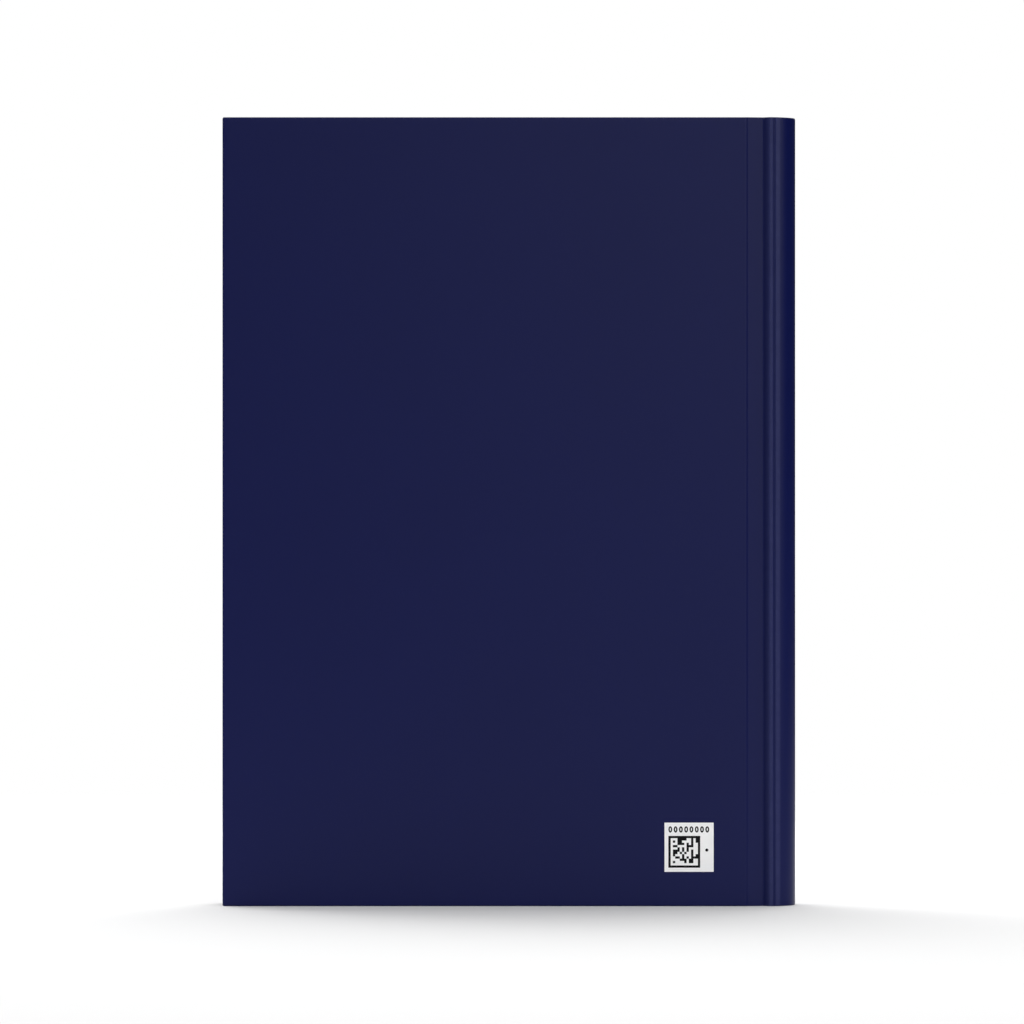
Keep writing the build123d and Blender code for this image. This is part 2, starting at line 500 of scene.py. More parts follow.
@dataclass(frozen=True)
class StripedBand(PatternedFinish):
    """Machine-woven band: silky threads wound over a cord, white and navy by turns."""

    colour: str = "e6e3d8"
    under: str = "2a3166"
    relief_mm: float = 0.03

    def pattern(self, tree: Tree) -> tuple[Socket, Socket]:
        """Stripes that follow the windings, which the band's own stripe attribute counts."""
        silk = noise(tree, object_point(tree, (0.3, 0.3, 1.0)), 0.25, 3.0)
        return attribute(tree, "stripe"), silk


@dataclass(frozen=True)
class PrintedInk(Finish):
    """Flat printed ink under the same matt film as the cover."""

    colour: str = "f4f4f2"
    dulled: float = 0.96

    def dress(self, tree: Tree) -> dict[str, Socket]:
        """Even ink with a faint dot gain and the film's tooth.

        Args:
            tree: The material's node tree.

        Returns:
            The shader's colour and normal.
        """
        point = object_point(tree)
        base = srgb(self.colour)
        duller = (*(channel * self.dulled for channel in base[:3]), 1.0)
        return {
            "Base Color": mix_colour(tree, noise(tree, point, 1.5, 3.0), duller, base),
            "Normal": bump(tree, noise(tree, point, 0.35, 2.0), 0.004, 0.6),
        }


COVER_PAPER = LaminatedCoverPaper("matt_laminated_navy_cover_paper", roughness=0.36, ior=1.5, gloss=0.16)
ENDPAPER = UncoatedPaper("heavy_white_endpaper", roughness=0.75, ior=1.45, colour="f1f0ea", under="e9e7de")
LEDGER = LedgerPaper("ruled_ledger_paper", roughness=0.75, ior=1.45)
LEAF_EDGE = TrimmedEdge("trimmed_leaf_edges", roughness=0.85, ior=1.45)
ENDPAPER_EDGE = UncoatedPaper("endpaper_edge", roughness=0.85, ior=1.45, colour="e6e4da", under="d9d6ca")
GREYBOARD = Greyboard("binders_greyboard", roughness=0.9, ior=1.45)
MULL = WovenCloth("starched_mull", roughness=0.9, ior=1.45)
KRAFT = KraftPaper("kraft_lining", roughness=0.8, ior=1.45)
THREAD = WaxedThread("waxed_linen_thread", roughness=0.5, ior=1.45)
BAND = StripedBand("striped_woven_band", roughness=0.5, ior=1.5)
WHITE_INK = PrintedInk("white_printed_patch", roughness=0.4, ior=1.5, gloss=0.075, colour="ffffff")
DARK_INK = PrintedInk("dark_printed_cells", roughness=0.4, ior=1.5, gloss=0.075, colour="0c0c0e")


# Mesh helpers

BMesh = bmesh.types.BMesh
Piece = bpy.types.Object


def box_of(node: str) -> tuple[Vector, Vector]:
    """The low and high corners of a CAD node's box."""
    low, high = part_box(node)
    return Vector(low), Vector(high)


def grow(bm: BMesh, edges: list) -> tuple[list, list, list]:
    """Extrude a chain of edges once, where it stands.

    Args:
        bm: The bmesh that the edges are in.
        edges: The chain.

    Returns:
        The new vertices, the new chain and the new faces.
    """
    grown = bmesh.ops.extrude_edge_only(bm, edges=edges)["geom"]
    kinds = (bmesh.types.BMVert, bmesh.types.BMEdge, bmesh.types.BMFace)
    verts, all_edges, faces = ([item for item in grown if isinstance(item, kind)] for kind in kinds)
    fresh = set(verts)
    return verts, [edge for edge in all_edges if fresh.issuperset(edge.verts)], faces


def finish_piece(
    name: str,
    bm: BMesh,
    finishes: Iterable[Finish],
    smooth_below: float = 40.0,
) -> Piece:
    """Turn a bmesh into an object at the origin, with its finishes and its shading.

    Args:
        name: The piece's name.
        bm: The geometry, in metres in the frame; it is freed here.
        finishes: The finishes for material slots 0, 1 and so on.
        smooth_below: Edges that turn less than this many degrees are shaded smooth.

    Returns:
        The new object, linked to the scene.
    """
    mesh = bpy.data.meshes.new(name)
    bm.to_mesh(mesh)
    bm.free()
    for polygon in mesh.polygons:
        polygon.use_smooth = True
    mesh.set_sharp_from_angle(angle=math.radians(smooth_below))
    for finish in finishes:
        mesh.materials.append(finish.material())
    piece = bpy.data.objects.new(name, mesh)
    bpy.context.scene.collection.objects.link(piece)
    return piece


def add_thickness(piece: Piece, thickness: float, rim_slot: int = 0, offset: float = -1.0) -> None:
    """Give a paper surface its caliper.

    Args:
        piece: The surface.
        thickness: Caliper in metres.
        rim_slot: How many material slots further on the cut edges take their finish.
        offset: -1 grows the paper inwards, 0 both ways.
    """
    solid = piece.modifiers.new("caliper", "SOLIDIFY")
    solid.thickness = thickness
    solid.offset = offset
    solid.material_offset_rim = rim_slot


def finish_sheet(name: str, bm: BMesh, finishes: list[Finish], caliper: float) -> Piece:
    """Turn a swept surface into a sheet of its own caliper, whose cut edges take the last finish.

    Args:
        name: The piece's name.
        bm: The surface, down the sheet's middle; it is freed here.
        finishes: The finish of the faces, and that of the cut edges where it differs.
        caliper: The sheet's thickness in metres.

    Returns:
        The new object.
    """
    piece = finish_piece(name, bm, finishes, 60.0)
    add_thickness(piece, caliper, rim_slot=len(finishes) - 1, offset=0.0)
    return piece


def rounded_path(corners: list[tuple[float, float]], radii: list[float], steps: int = 5) -> list[Vector]:
    """Points along straight runs whose inner corners are rounded by arcs.

    Args:
        corners: The path's corners.
        radii: One radius for each inner corner.
        steps: Chords in each arc.

    Returns:
        The path's points in order, as 2-D vectors.
    """
    points = [Vector(corners[0])]
    for before, corner, after, radius in zip(corners, corners[1:], corners[2:], radii):
        corner_point = Vector(corner)
        back = (Vector(before) - corner_point).normalized()
        on = (Vector(after) - corner_point).normalized()
        half = back.angle(on) / 2
        reach = radius / math.tan(half)
        centre = corner_point + (back + on).normalized() * (radius / math.sin(half))
        start = corner_point + back * reach - centre
        swing = (corner_point + on * reach - centre).angle_signed(start)
        for step in range(steps + 1):
            turned = Matrix.Rotation(swing * step / steps, 2) @ start
            points.append(centre + turned)
    points.append(Vector(corners[-1]))
    return points


def sweep_up(bm: BMesh, path: list[Vector], levels: list[float], origin_x: float) -> None:
    """Stand a paper surface on a path in XY by extruding it up through the given levels.

    The UV map leaf_metres gets the distance along X from origin_x, and the height above the
    first level, so that printing follows the paper when it bends.

    Args:
        bm: The bmesh that the surface joins.
        path: The path's points in XY.
        levels: Heights, from the tail to the head.
        origin_x: The X from which the printing is measured.
    """
    row = [bm.verts.new((point.x, point.y, levels[0])) for point in path]
    edges = [bm.edges.new(pair) for pair in zip(row, row[1:])]
    made = []
    for low, high in zip(levels, levels[1:]):
        verts, edges, faces = grow(bm, edges)
        bmesh.ops.translate(bm, verts=verts, vec=(0, 0, high - low))
        made += faces
    uv = bm.loops.layers.uv.get("leaf_metres") or bm.loops.layers.uv.new("leaf_metres")
    for face in made:
        for loop in face.loops:
            loop[uv].uv = (abs(loop.vert.co.x - origin_x), loop.vert.co.z - levels[0])


def pivot_of(child: str) -> Vector:
    """Where the axis stands that turns a body."""
    return Vector(next(joint["pos_m"] for joint in frame["joints"] if joint["child"] == child))


ROOT = "book_block"
HINGE_STRIP = (66.6 * MM, 60.6 * MM)


def hinge_xs(steps: int) -> list[float]:
    """Even places along X through the hinge, close enough for a sheet to bend there."""
    start, end = HINGE_STRIP
    return [start + (end - start) * step / steps for step in range(steps + 1)]


def bend_at_hinge(piece: Piece) -> None:
    """Bake a glued layer's placement into its mesh; the layer is not bent here.

    Args:
        piece: The layer of paper or cloth.
    """
    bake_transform(piece)


# Sub-assemblies


@dataclass
class CoverPaper:
    """One half of the cover sheet: a board's wrap, the groove, the beads and half of the spine.

    Attributes:
        side: Which cover this half wraps.
        caliper: The laminated paper's thickness.
        edge_radius: How tightly the paper turns over the board's edges.
        turn_in: Width of the turned-in margin.
        worn_width: How far from the edges handling has rubbed the film.
        groove_mm: Corners of the outer line through the hinge, as X and depth below the cover's face.
        ridges_mm: Where the bead and the shoulder stand up and take a painted highlight, from and to in X.
        ridge_depth: How far below the cover's face a ridge still takes the painted highlight.
        folded_depth: Depth of the turned-in layer behind the groove.
        card_depth: Depth of the turned-in layer behind the spine card.
        board_ends: From and to in X, where the turned-in layer leaves the board.
        card_starts: From and to in X, where it goes behind the spine card.
    """

    side: Side
    caliper: float = 0.25 * MM
    edge_radius: float = 0.42 * MM
    turn_in: float = 15.0 * MM
    worn_width: float = 1.8 * MM
    corner_segments: int = 4
    groove_mm: tuple[tuple[float, float], ...] = (
        (60.45, 0.0),
        (61.0, 0.0),
        (61.45, 0.4),
        (65.1, 1.25),
        (65.6, 1.25),
        (66.95, 0.05),
        (67.7, 0.05),
        (68.2, 0.45),
        (68.75, 0.3),
        (69.5, 0.65),
    )
    groove_radii_mm: tuple[float, ...] = (0.5, 0.8, 1.2, 0.7, 0.5, 0.5, 0.5, 0.6)
    ridges_mm: tuple[tuple[float, float], ...] = ((66.75, 67.85), (68.5, 69.75))
    ridge_depth: float = 0.85 * MM
    folded_depth: float = 0.56 * MM
    card_depth: float = 1.36 * MM
    board_ends: tuple[float, float] = (60.4 * MM, 62.2 * MM)
    card_starts: tuple[float, float] = (68.8 * MM, 70.2 * MM)
    corner_wear: float = 0.4
    # Strength of the painted highlight on the bead and the shoulder; the corners' share is real handling.
    ridge_highlight: float = 0.8
    spine_steps: int = 26
    low: Vector = field(init=False)
    high: Vector = field(init=False)

    def __post_init__(self) -> None:
        """Read the wrap's box from the frame."""
        self.low, self.high = box_of(f"{self.side.label}_cover_wrap")

    @property
    def outer_y(self) -> float:
        """Distance of the cover's face from mid-thickness."""
        return max(abs(self.low.y), abs(self.high.y))

    @property
    def inner_y(self) -> float:
        """Distance of the turn-ins' face from mid-thickness."""
        return min(abs(self.low.y), abs(self.high.y))

    def profile(self) -> list[Vector]:
        """The outer line from the board's back edge through the groove and round to mid-spine.

        Returns:
            Points with Y as the distance from mid-thickness.
        """
        corners = [(x * MM, self.outer_y - drop * MM) for x, drop in self.groove_mm]
        points = rounded_path(corners, [radius * MM for radius in self.groove_radii_mm])
        crown_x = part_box("spine_wrap")[1][0]
        edge = points[-1]
        sagitta = crown_x - edge.x
        radius = (edge.y**2 + sagitta**2) / (2 * sagitta)
        centre_x = crown_x - radius
        start = math.asin(edge.y / radius)
        for step in range(1, self.spine_steps + 1):
            # Steps shorten towards mid-spine, so the two halves meet without a crease.
            angle = start * (1 - math.sin(math.pi / 2 * step / self.spine_steps))
            points.append(Vector((centre_x + radius * math.cos(angle), radius * math.sin(angle))))
        return points

    def inner_point(self, points: list[Vector], index: int) -> Vector:
        """Where the turned-in layer lies behind a point of the outer line.

        Args:
            points: The outer line.
            index: Which of its points.

        Returns:
            The inner layer's point.
        """
        here = points[index]
        along = (points[min(index + 1, len(points) - 1)] - points[index - 1]).normalized()
        if index == len(points) - 1:
            along = Vector((0, -1))
        normal = Vector((along.y, -along.x))
        on_card = smooth(here.x, *self.card_starts)
        direction = Vector((0, -1)).lerp(normal, on_card).normalized()
        board_depth = here.y - self.inner_y
        depth = board_depth + (self.folded_depth - board_depth) * smooth(here.x, *self.board_ends)
        depth += (self.card_depth - self.folded_depth) * on_card
        return here + direction * depth

    def board_shell(self) -> BMesh:
        """Model the wrap on the board: a slab open at the hinge, with a window inside the turn-ins.

        Returns:
            The open surface, with Y as the distance from mid-thickness.
        """
        points = self.profile()
        size = Vector((points[0].x - self.low.x, self.outer_y - self.inner_y, self.high.z - self.low.z))
        middle_y = (self.outer_y + self.inner_y) / 2
        middle = Vector((self.low.x + size.x / 2, middle_y, self.low.z + size.z / 2))
        bm = bmesh.new()
        bmesh.ops.create_cube(bm, size=1.0)
        bmesh.ops.scale(bm, verts=bm.verts, vec=size)
        bmesh.ops.translate(bm, verts=bm.verts, vec=middle)
        for inset in (self.turn_in, self.worn_width):
            for place, normal in (
                ((self.low.x + inset, 0, 0), (1, 0, 0)),
                ((0, 0, self.low.z + inset), (0, 0, 1)),
                ((0, 0, self.high.z - inset), (0, 0, 1)),
            ):
                geometry = bm.verts[:] + bm.edges[:] + bm.faces[:]
                bmesh.ops.bisect_plane(bm, geom=geometry, plane_co=place, plane_no=normal, dist=1e-7)
        hinge_faces = [face for face in bm.faces if face.normal.x > 0.9]
        bmesh.ops.delete(bm, geom=hinge_faces, context="FACES")
        window = []
        for face in bm.faces:
            middle = face.calc_center_median()
            within = self.low.z + self.turn_in < middle.z < self.high.z - self.turn_in
            if face.normal.y < -0.9 and within and middle.x > self.low.x + self.turn_in:
                window.append(face)
        bmesh.ops.delete(bm, geom=window, context="FACES")
        sharp = [edge for edge in bm.edges if len(edge.link_faces) == 2 and edge.calc_face_angle() > 1.0]
        bmesh.ops.bevel(
            bm,
            geom=sharp,
            offset=self.edge_radius,
            offset_type="OFFSET",
            segments=self.corner_segments,
            profile=0.5,
            affect="EDGES",
            material=-1,
        )
        return bm

    def build(self) -> Piece:
        """Model the whole half sheet.

        Returns:
            The finished piece.
        """
        bm = self.board_shell()
        points = self.profile()
        hinge_x = points[0].x
        chain = [
            edge
            for edge in bm.edges
            if edge.is_boundary and all(abs(vert.co.x - hinge_x) < 1e-6 for vert in edge.verts)
        ]
        share = bm.verts.layers.float.new("layer_share")
        for edge in chain:
            for vert in edge.verts:
                vert[share] = (self.outer_y - vert.co.y) / (self.outer_y - self.inner_y)
        for index in range(1, len(points)):
            inner = self.inner_point(points, index)
            verts, chain, _ = grow(bm, chain)
            for vert in verts:
                place = points[index].lerp(inner, vert[share])
                vert.co.x, vert.co.y = place.x, place.y
        bmesh.ops.scale(bm, verts=bm.verts, vec=(1, self.side.way, 1))
        bmesh.ops.recalc_face_normals(bm, faces=bm.faces)
        self.mark_rub_and_highlight(bm)
        if self.outward(bm) < 0:
            bmesh.ops.reverse_faces(bm, faces=bm.faces)
        piece = finish_piece(f"{self.side.label}_cover_paper", bm, [COVER_PAPER], 50.0)
        add_thickness(piece, self.caliper)
        weighted = piece.modifiers.new("even_shading", "WEIGHTED_NORMAL")
        weighted.keep_sharp = True
        bend_at_hinge(piece)
        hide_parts(f"{self.side.label}_cover_wrap", "spine_wrap")
        return piece

    def outward(self, bm: BMesh) -> float:
        """How far the cover's main face points outwards; negative when the sheet is inside out."""
        return max(bm.faces, key=lambda face: face.calc_area()).normal.y * self.side.way

    def mark_rub_and_highlight(self, bm: BMesh) -> None:
        """Mark the corners, which handling rubs, and the ridges, which take a painted highlight, in one float
        attribute.
        """
        rub_and_highlight = bm.verts.layers.float.new("corner_rub_ridge_highlight")
        for vert in bm.verts:
            near_fore = abs(vert.co.x - self.low.x) < self.edge_radius
            near_end = min(vert.co.z - self.low.z, self.high.z - vert.co.z) < self.edge_radius
            on_ridge = any(low * MM < vert.co.x < high * MM for low, high in self.ridges_mm)
            on_ridge = on_ridge and abs(vert.co.y) > self.outer_y - self.ridge_depth
            # Corners get real handling marks; the bead and the shoulder get a painted highlight.
            vert[rub_and_highlight] = self.corner_wear * (near_fore and near_end) + self.ridge_highlight * on_ridge


def smooth(value: float, low: float, high: float) -> float:
    """Ease from 0 at low to 1 at high."""
    share = min(1.0, max(0.0, (value - low) / (high - low)))
    return share * share * (3 - 2 * share)


@dataclass
class CodePrint:
    """The small white printed patch near the tail: plain cells and a row of noughts, no real code."""

    size: float = 12.66 * MM
    from_tail: float = 8.85 * MM
    left: float = 39.95 * MM
    proud: float = 0.012 * MM
    cells: int = 14
    cell: float = 0.585 * MM
    cells_corner: tuple[float, float] = (1.0 * MM, 1.05 * MM)
    blank_below: float = 0.5
    noughts: int = 8
    nought_pitch: float = 1.36 * MM
    nought_size: tuple[float, float] = (0.98 * MM, 1.62 * MM)
    nought_line: float = 0.34 * MM
    noughts_start: tuple[float, float] = (1.5 * MM, 1.75 * MM)
    dot: float = 0.8 * MM
    dot_place: tuple[float, float] = (10.9 * MM, 5.6 * MM)
    seed: int = 7

    def face_y(self) -> float:
        """The Y of the back cover's outer face."""
        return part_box("back_cover_wrap")[0][1]

    def build(self) -> Piece:
        """Model the patch, its cells and its row of noughts as thin flat print.

        Returns:
            The finished piece.
        """
        bm = bmesh.new()
        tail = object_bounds()[0].z + self.from_tail
        patch = bmesh.ops.create_grid(bm, x_segments=1, y_segments=1, size=0.5)["verts"]
        self.place(bm, patch, self.size, self.size, self.left + self.size / 2, tail + self.size / 2, 1)
        self.print_cells(bm, tail)
        self.print_noughts(bm, tail)
        piece = finish_piece("code_print", bm, [WHITE_INK, DARK_INK])
        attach(piece, "back_cover")
        return piece

    def place(
        self, bm: BMesh, verts: list, wide: float, tall: float, x: float, z: float, layer: int
    ) -> None:
        """Turn flat verts made on XY to the back cover's face.

        Args:
            bm: The bmesh that they are in.
            verts: The vertices, made about the origin with a size of 1.
            wide: Width along X.
            tall: Height along Z.
            x: Middle along X.
            z: Middle along Z.
            layer: How many print layers above the paper they lie.
        """
        turned = Matrix.Rotation(math.pi / 2, 4, "X") @ Matrix.Diagonal((wide, tall, 1, 1))
        moved = Matrix.Translation((x, self.face_y() - self.proud * layer, z)) @ turned
        bmesh.ops.transform(bm, matrix=moved, verts=verts)

    def print_cells(self, bm: BMesh, tail: float) -> None:
        """Print a framed square of cells, dark or blank by a seeded draw.

        Args:
            bm: The bmesh that the cells join.
            tail: The patch's lower edge.
        """
        draw = random.Random(self.seed)
        left = self.left + self.cells_corner[0]
        low = tail + self.cells_corner[1]
        last = self.cells - 1
        for column in range(self.cells):
            for row in range(self.cells):
                framed = column in (0, last) or row in (0, last)
                if not framed and (draw.random() < self.blank_below or column == 1 or row == 1):
                    continue
                verts = bmesh.ops.create_grid(bm, x_segments=1, y_segments=1, size=0.5)["verts"]
                x, z = left + (column + 0.5) * self.cell, low + (row + 0.5) * self.cell
                self.place(bm, verts, self.cell, self.cell, x, z, 2)
                for face in verts[0].link_faces:
                    face.material_index = 1

    def print_noughts(self, bm: BMesh, tail: float) -> None:
        """Print the row of noughts over the cells and one small dot beside them.

        Args:
            bm: The bmesh that they join.
            tail: The patch's lower edge.
        """
        start = self.left + self.noughts_start[0]
        level = tail + self.size - self.noughts_start[1]
        for index in range(self.noughts):
            verts = bmesh.ops.create_circle(bm, cap_ends=True, segments=20, radius=0.5)["verts"]
            self.place(bm, verts, *self.nought_size, start + index * self.nought_pitch, level, 2)
            disc = verts[0].link_faces[0]
            ring = bmesh.ops.inset_region(
                bm, faces=[disc], thickness=self.nought_line, use_even_offset=True, use_boundary=True
            )["faces"]
            for face in ring:
                face.material_index = 1
            bmesh.ops.delete(bm, geom=[disc], context="FACES_ONLY")
        dot = bmesh.ops.create_circle(bm, cap_ends=True, segments=16, radius=0.5)["verts"]
        across, up = self.dot_place
        self.place(bm, dot, self.dot, self.dot, self.left + across, tail + up, 2)
        for face in dot[0].link_faces:
            face.material_index = 1


@dataclass
class TextBlock:
    """Ten sections of nested folded sheets, each sheet two leaves joined by its fold."""

    sections: int = 10
    sheets: int = 4
    caliper: float = 0.088 * MM
    stray_fore: float = 0.16 * MM
    stray_end: float = 0.09 * MM
    bend_length: float = 9.0 * MM
    bend_lead: float = 3.0 * MM
    bend_steps: int = 12
    still_bend_x: float = 59.0 * MM
    leaf_runs: tuple[float, float] = (0.35, 0.7)
    fold_steps: int = 6
    seed: int = 41

    def build(self) -> list[Piece]:
        """Model every section.

        Returns:
            One piece for each section.
        """
        draw = random.Random(self.seed)
        return [self.build_section(number, draw) for number in range(1, self.sections + 1)]

    def build_section(self, number: int, draw: random.Random) -> Piece:
        """Model one section's sheets in the space of its CAD nodes.

        Args:
            number: The section's number, from the front.
            draw: The seeded source of small irregularities.

        Returns:
            The finished piece.
        """
        whole = f"section_{number:02d}"
        turning = f"{whole}_leaves" in frame["nodes"]
        nodes = (f"{whole}_leaves", f"{whole}_fold") if turning else (whole,)
        low, high = box_of(nodes[0])
        spine_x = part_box(nodes[-1])[1][0]
        middle_y = (low.y + high.y) / 2
        bend_x = pivot_of(f"{whole}_leaves").x if turning else self.still_bend_x
        pitch = (high.y - low.y) / (2 * self.sheets)
        nose_x = spine_x - pitch * self.sheets
        bm = bmesh.new()
        tone = bm.verts.layers.float.new("leaf_tone")
        for sheet in range(self.sheets):
            before = len(bm.verts)
            levels = [low.z + draw.random() * self.stray_end, high.z - draw.random() * self.stray_end]
            path = self.sheet_path(low.x, bend_x, nose_x, middle_y, pitch * (sheet + 0.5), draw)
            sweep_up(bm, path, levels, low.x)
            bm.verts.ensure_lookup_table()
            shade = draw.random()
            for vert in bm.verts[before:]:
                vert[tone] = shade
        piece = finish_sheet(f"{whole}_sheets", bm, [LEDGER, LEAF_EDGE], self.caliper)
        if turning:
            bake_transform(piece)
        else:
            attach(piece, ROOT)
        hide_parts(*nodes)
        return piece

    def sheet_path(
        self, fore_x: float, bend_x: float, nose_x: float, middle_y: float, offset: float, draw: random.Random
    ) -> list[Vector]:
        """The folded sheet seen from its end: out along one leaf, round the fold and back.

        Args:
            fore_x: The section's fore edge.
            bend_x: Where its leaves bend when they turn.
            nose_x: The middle of its fold.
            middle_y: The section's mid-plane.
            offset: How far from the mid-plane this sheet lies.
            draw: The seeded source of small irregularities.

        Returns:
            The path's points.
        """
        strays = [draw.random() * self.stray_fore for _ in range(2)]
        bends = [
            bend_x + self.bend_lead - (self.bend_length + 2 * self.bend_lead) * step / self.bend_steps
            for step in range(self.bend_steps + 1)
        ]
        flat = [bends[-1] + (fore_x - bends[-1]) * share for share in self.leaf_runs]
        outward = [fore_x + strays[0], *reversed(flat), *reversed(bends)]
        there = [Vector((x, middle_y + offset)) for x in outward]
        fold = []
        for step in range(self.fold_steps + 1):
            angle = math.pi / 2 - math.pi * step / self.fold_steps
            fold.append(Vector((nose_x + offset * math.cos(angle), middle_y + offset * math.sin(angle))))
        back = [Vector((x, middle_y - offset)) for x in [*bends, *flat, fore_x + strays[1]]]
        return there + fold + back


@dataclass
class Endpaper:
    """One folded endpaper: the pastedown half and the flyleaf half, which meet at the fold."""

    side: Side
    caliper: float = 0.13 * MM
    hinge_steps: int = 18
    sink: float = 0.15 * MM
    sink_slope: float = 0.9 * MM
    turn_in: float = 15.0 * MM
    flyleaf_bend: float = 9.0 * MM
    flyleaf_lead: float = 2.0 * MM
    flyleaf_steps_run: float = 12.0 * MM
    flyleaf_rests: tuple[float, float] = (40.0 * MM, 85.0 * MM)

    def build(self) -> list[Piece]:
        """Model both halves.

        Returns:
            The pastedown piece and the flyleaf piece.
        """
        return [self.build_pastedown(), self.build_flyleaf()]

    def build_pastedown(self) -> Piece:
        """Model the half that is glued to the board and through the hinge.

        Returns:
            The finished piece.
        """
        way = self.side.way
        label = self.side.label
        low, high = box_of(f"{label}_pastedown")
        joint_high = box_of(f"{label}_endpaper_joint")[1]
        wrap_low, wrap_high = box_of(f"{label}_cover_wrap")
        near_y = min(abs(low.y), abs(high.y)) + self.caliper / 2
        hinge = hinge_xs(self.hinge_steps)
        inner_x = wrap_low.x + self.turn_in
        xs = [joint_high.x, *hinge, inner_x + self.sink_slope, inner_x, low.x]
        path = [Vector((x, near_y * way)) for x in xs]
        tail, head = wrap_low.z + self.turn_in, wrap_high.z - self.turn_in
        levels = [low.z, tail, tail + self.sink_slope, head - self.sink_slope, head, high.z]
        bm = bmesh.new()
        sweep_up(bm, path, levels, low.x)
        for vert in bm.verts:
            across = inner_x + self.sink_slope / 2 < vert.co.x < hinge[-1] + 1e-6
            if across and tail + self.sink_slope / 2 < vert.co.z < head - self.sink_slope / 2:
                vert.co.y += self.sink * way
        piece = finish_sheet(f"{label}_pastedown_sheet", bm, [ENDPAPER, ENDPAPER_EDGE], self.caliper)
        bend_at_hinge(piece)
        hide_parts(f"{label}_pastedown", f"{label}_endpaper_joint")
        return piece

    def build_flyleaf(self) -> Piece:
        """Model the free half, from the fold out to the fore edge.

        Returns:
            The finished piece.
        """
        way = self.side.way
        label = self.side.label
        low, high = box_of(f"{label}_flyleaf")
        joint_high = box_of(f"{label}_endpaper_joint")[1]
        pivot = pivot_of(f"{label}_flyleaf")
        middle_y = abs(low.y + high.y) / 2
        start_x = pivot.x + self.flyleaf_lead
        run = self.flyleaf_steps_run / self.hinge_steps
        bends = [start_x - run * step for step in range(self.hinge_steps + 1)]
        xs = [joint_high.x, *bends, *(bends[-1] - rest for rest in self.flyleaf_rests), low.x]
        path = [Vector((x, middle_y * way)) for x in xs]
        bm = bmesh.new()
        sweep_up(bm, path, [low.z, high.z], low.x)
        piece = finish_sheet(f"{label}_flyleaf_sheet", bm, [ENDPAPER, ENDPAPER_EDGE], self.caliper)
        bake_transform(piece)
        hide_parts(f"{label}_flyleaf")
        return piece


@dataclass
class Mull:
    """One half of the spine cloth: half of the back, the hinge and the flap on the board."""

    side: Side
    caliper: float = 0.18 * MM
    cad_caliper: float = 0.25 * MM
    turn_x: float = 69.15 * MM
    hinge_steps: int = 16
    arc_steps: int = 14

    def build(self) -> Piece:
        """Model the cloth in the space between its two CAD nodes.

        Returns:
            The finished piece.
        """
        way = self.side.way
        label = self.side.label
        flap_low, flap_high = box_of(f"{label}_mull_flap")
        crown_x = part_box("spine_mull")[1][0] - self.cad_caliper / 2
        flat_y = abs(flap_low.y + flap_high.y) / 2
        sagitta = crown_x - self.turn_x
        radius = (flat_y**2 + sagitta**2) / (2 * sagitta)
        start = math.asin(flat_y / radius)
        path = []
        for step in range(self.arc_steps + 1):
            angle = start * step / self.arc_steps
            place = (crown_x - radius + radius * math.cos(angle), way * radius * math.sin(angle))
            path.append(Vector(place))
        path += [Vector((x, way * flat_y)) for x in [*hinge_xs(self.hinge_steps), flap_low.x]]
        bm = bmesh.new()
        sweep_up(bm, path, [flap_low.z, flap_high.z], flap_low.x)
        piece = finish_sheet(f"{label}_mull_cloth", bm, [MULL], self.caliper)
        bend_at_hinge(piece)
        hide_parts(f"{label}_mull_flap", "spine_mull")
        return piece


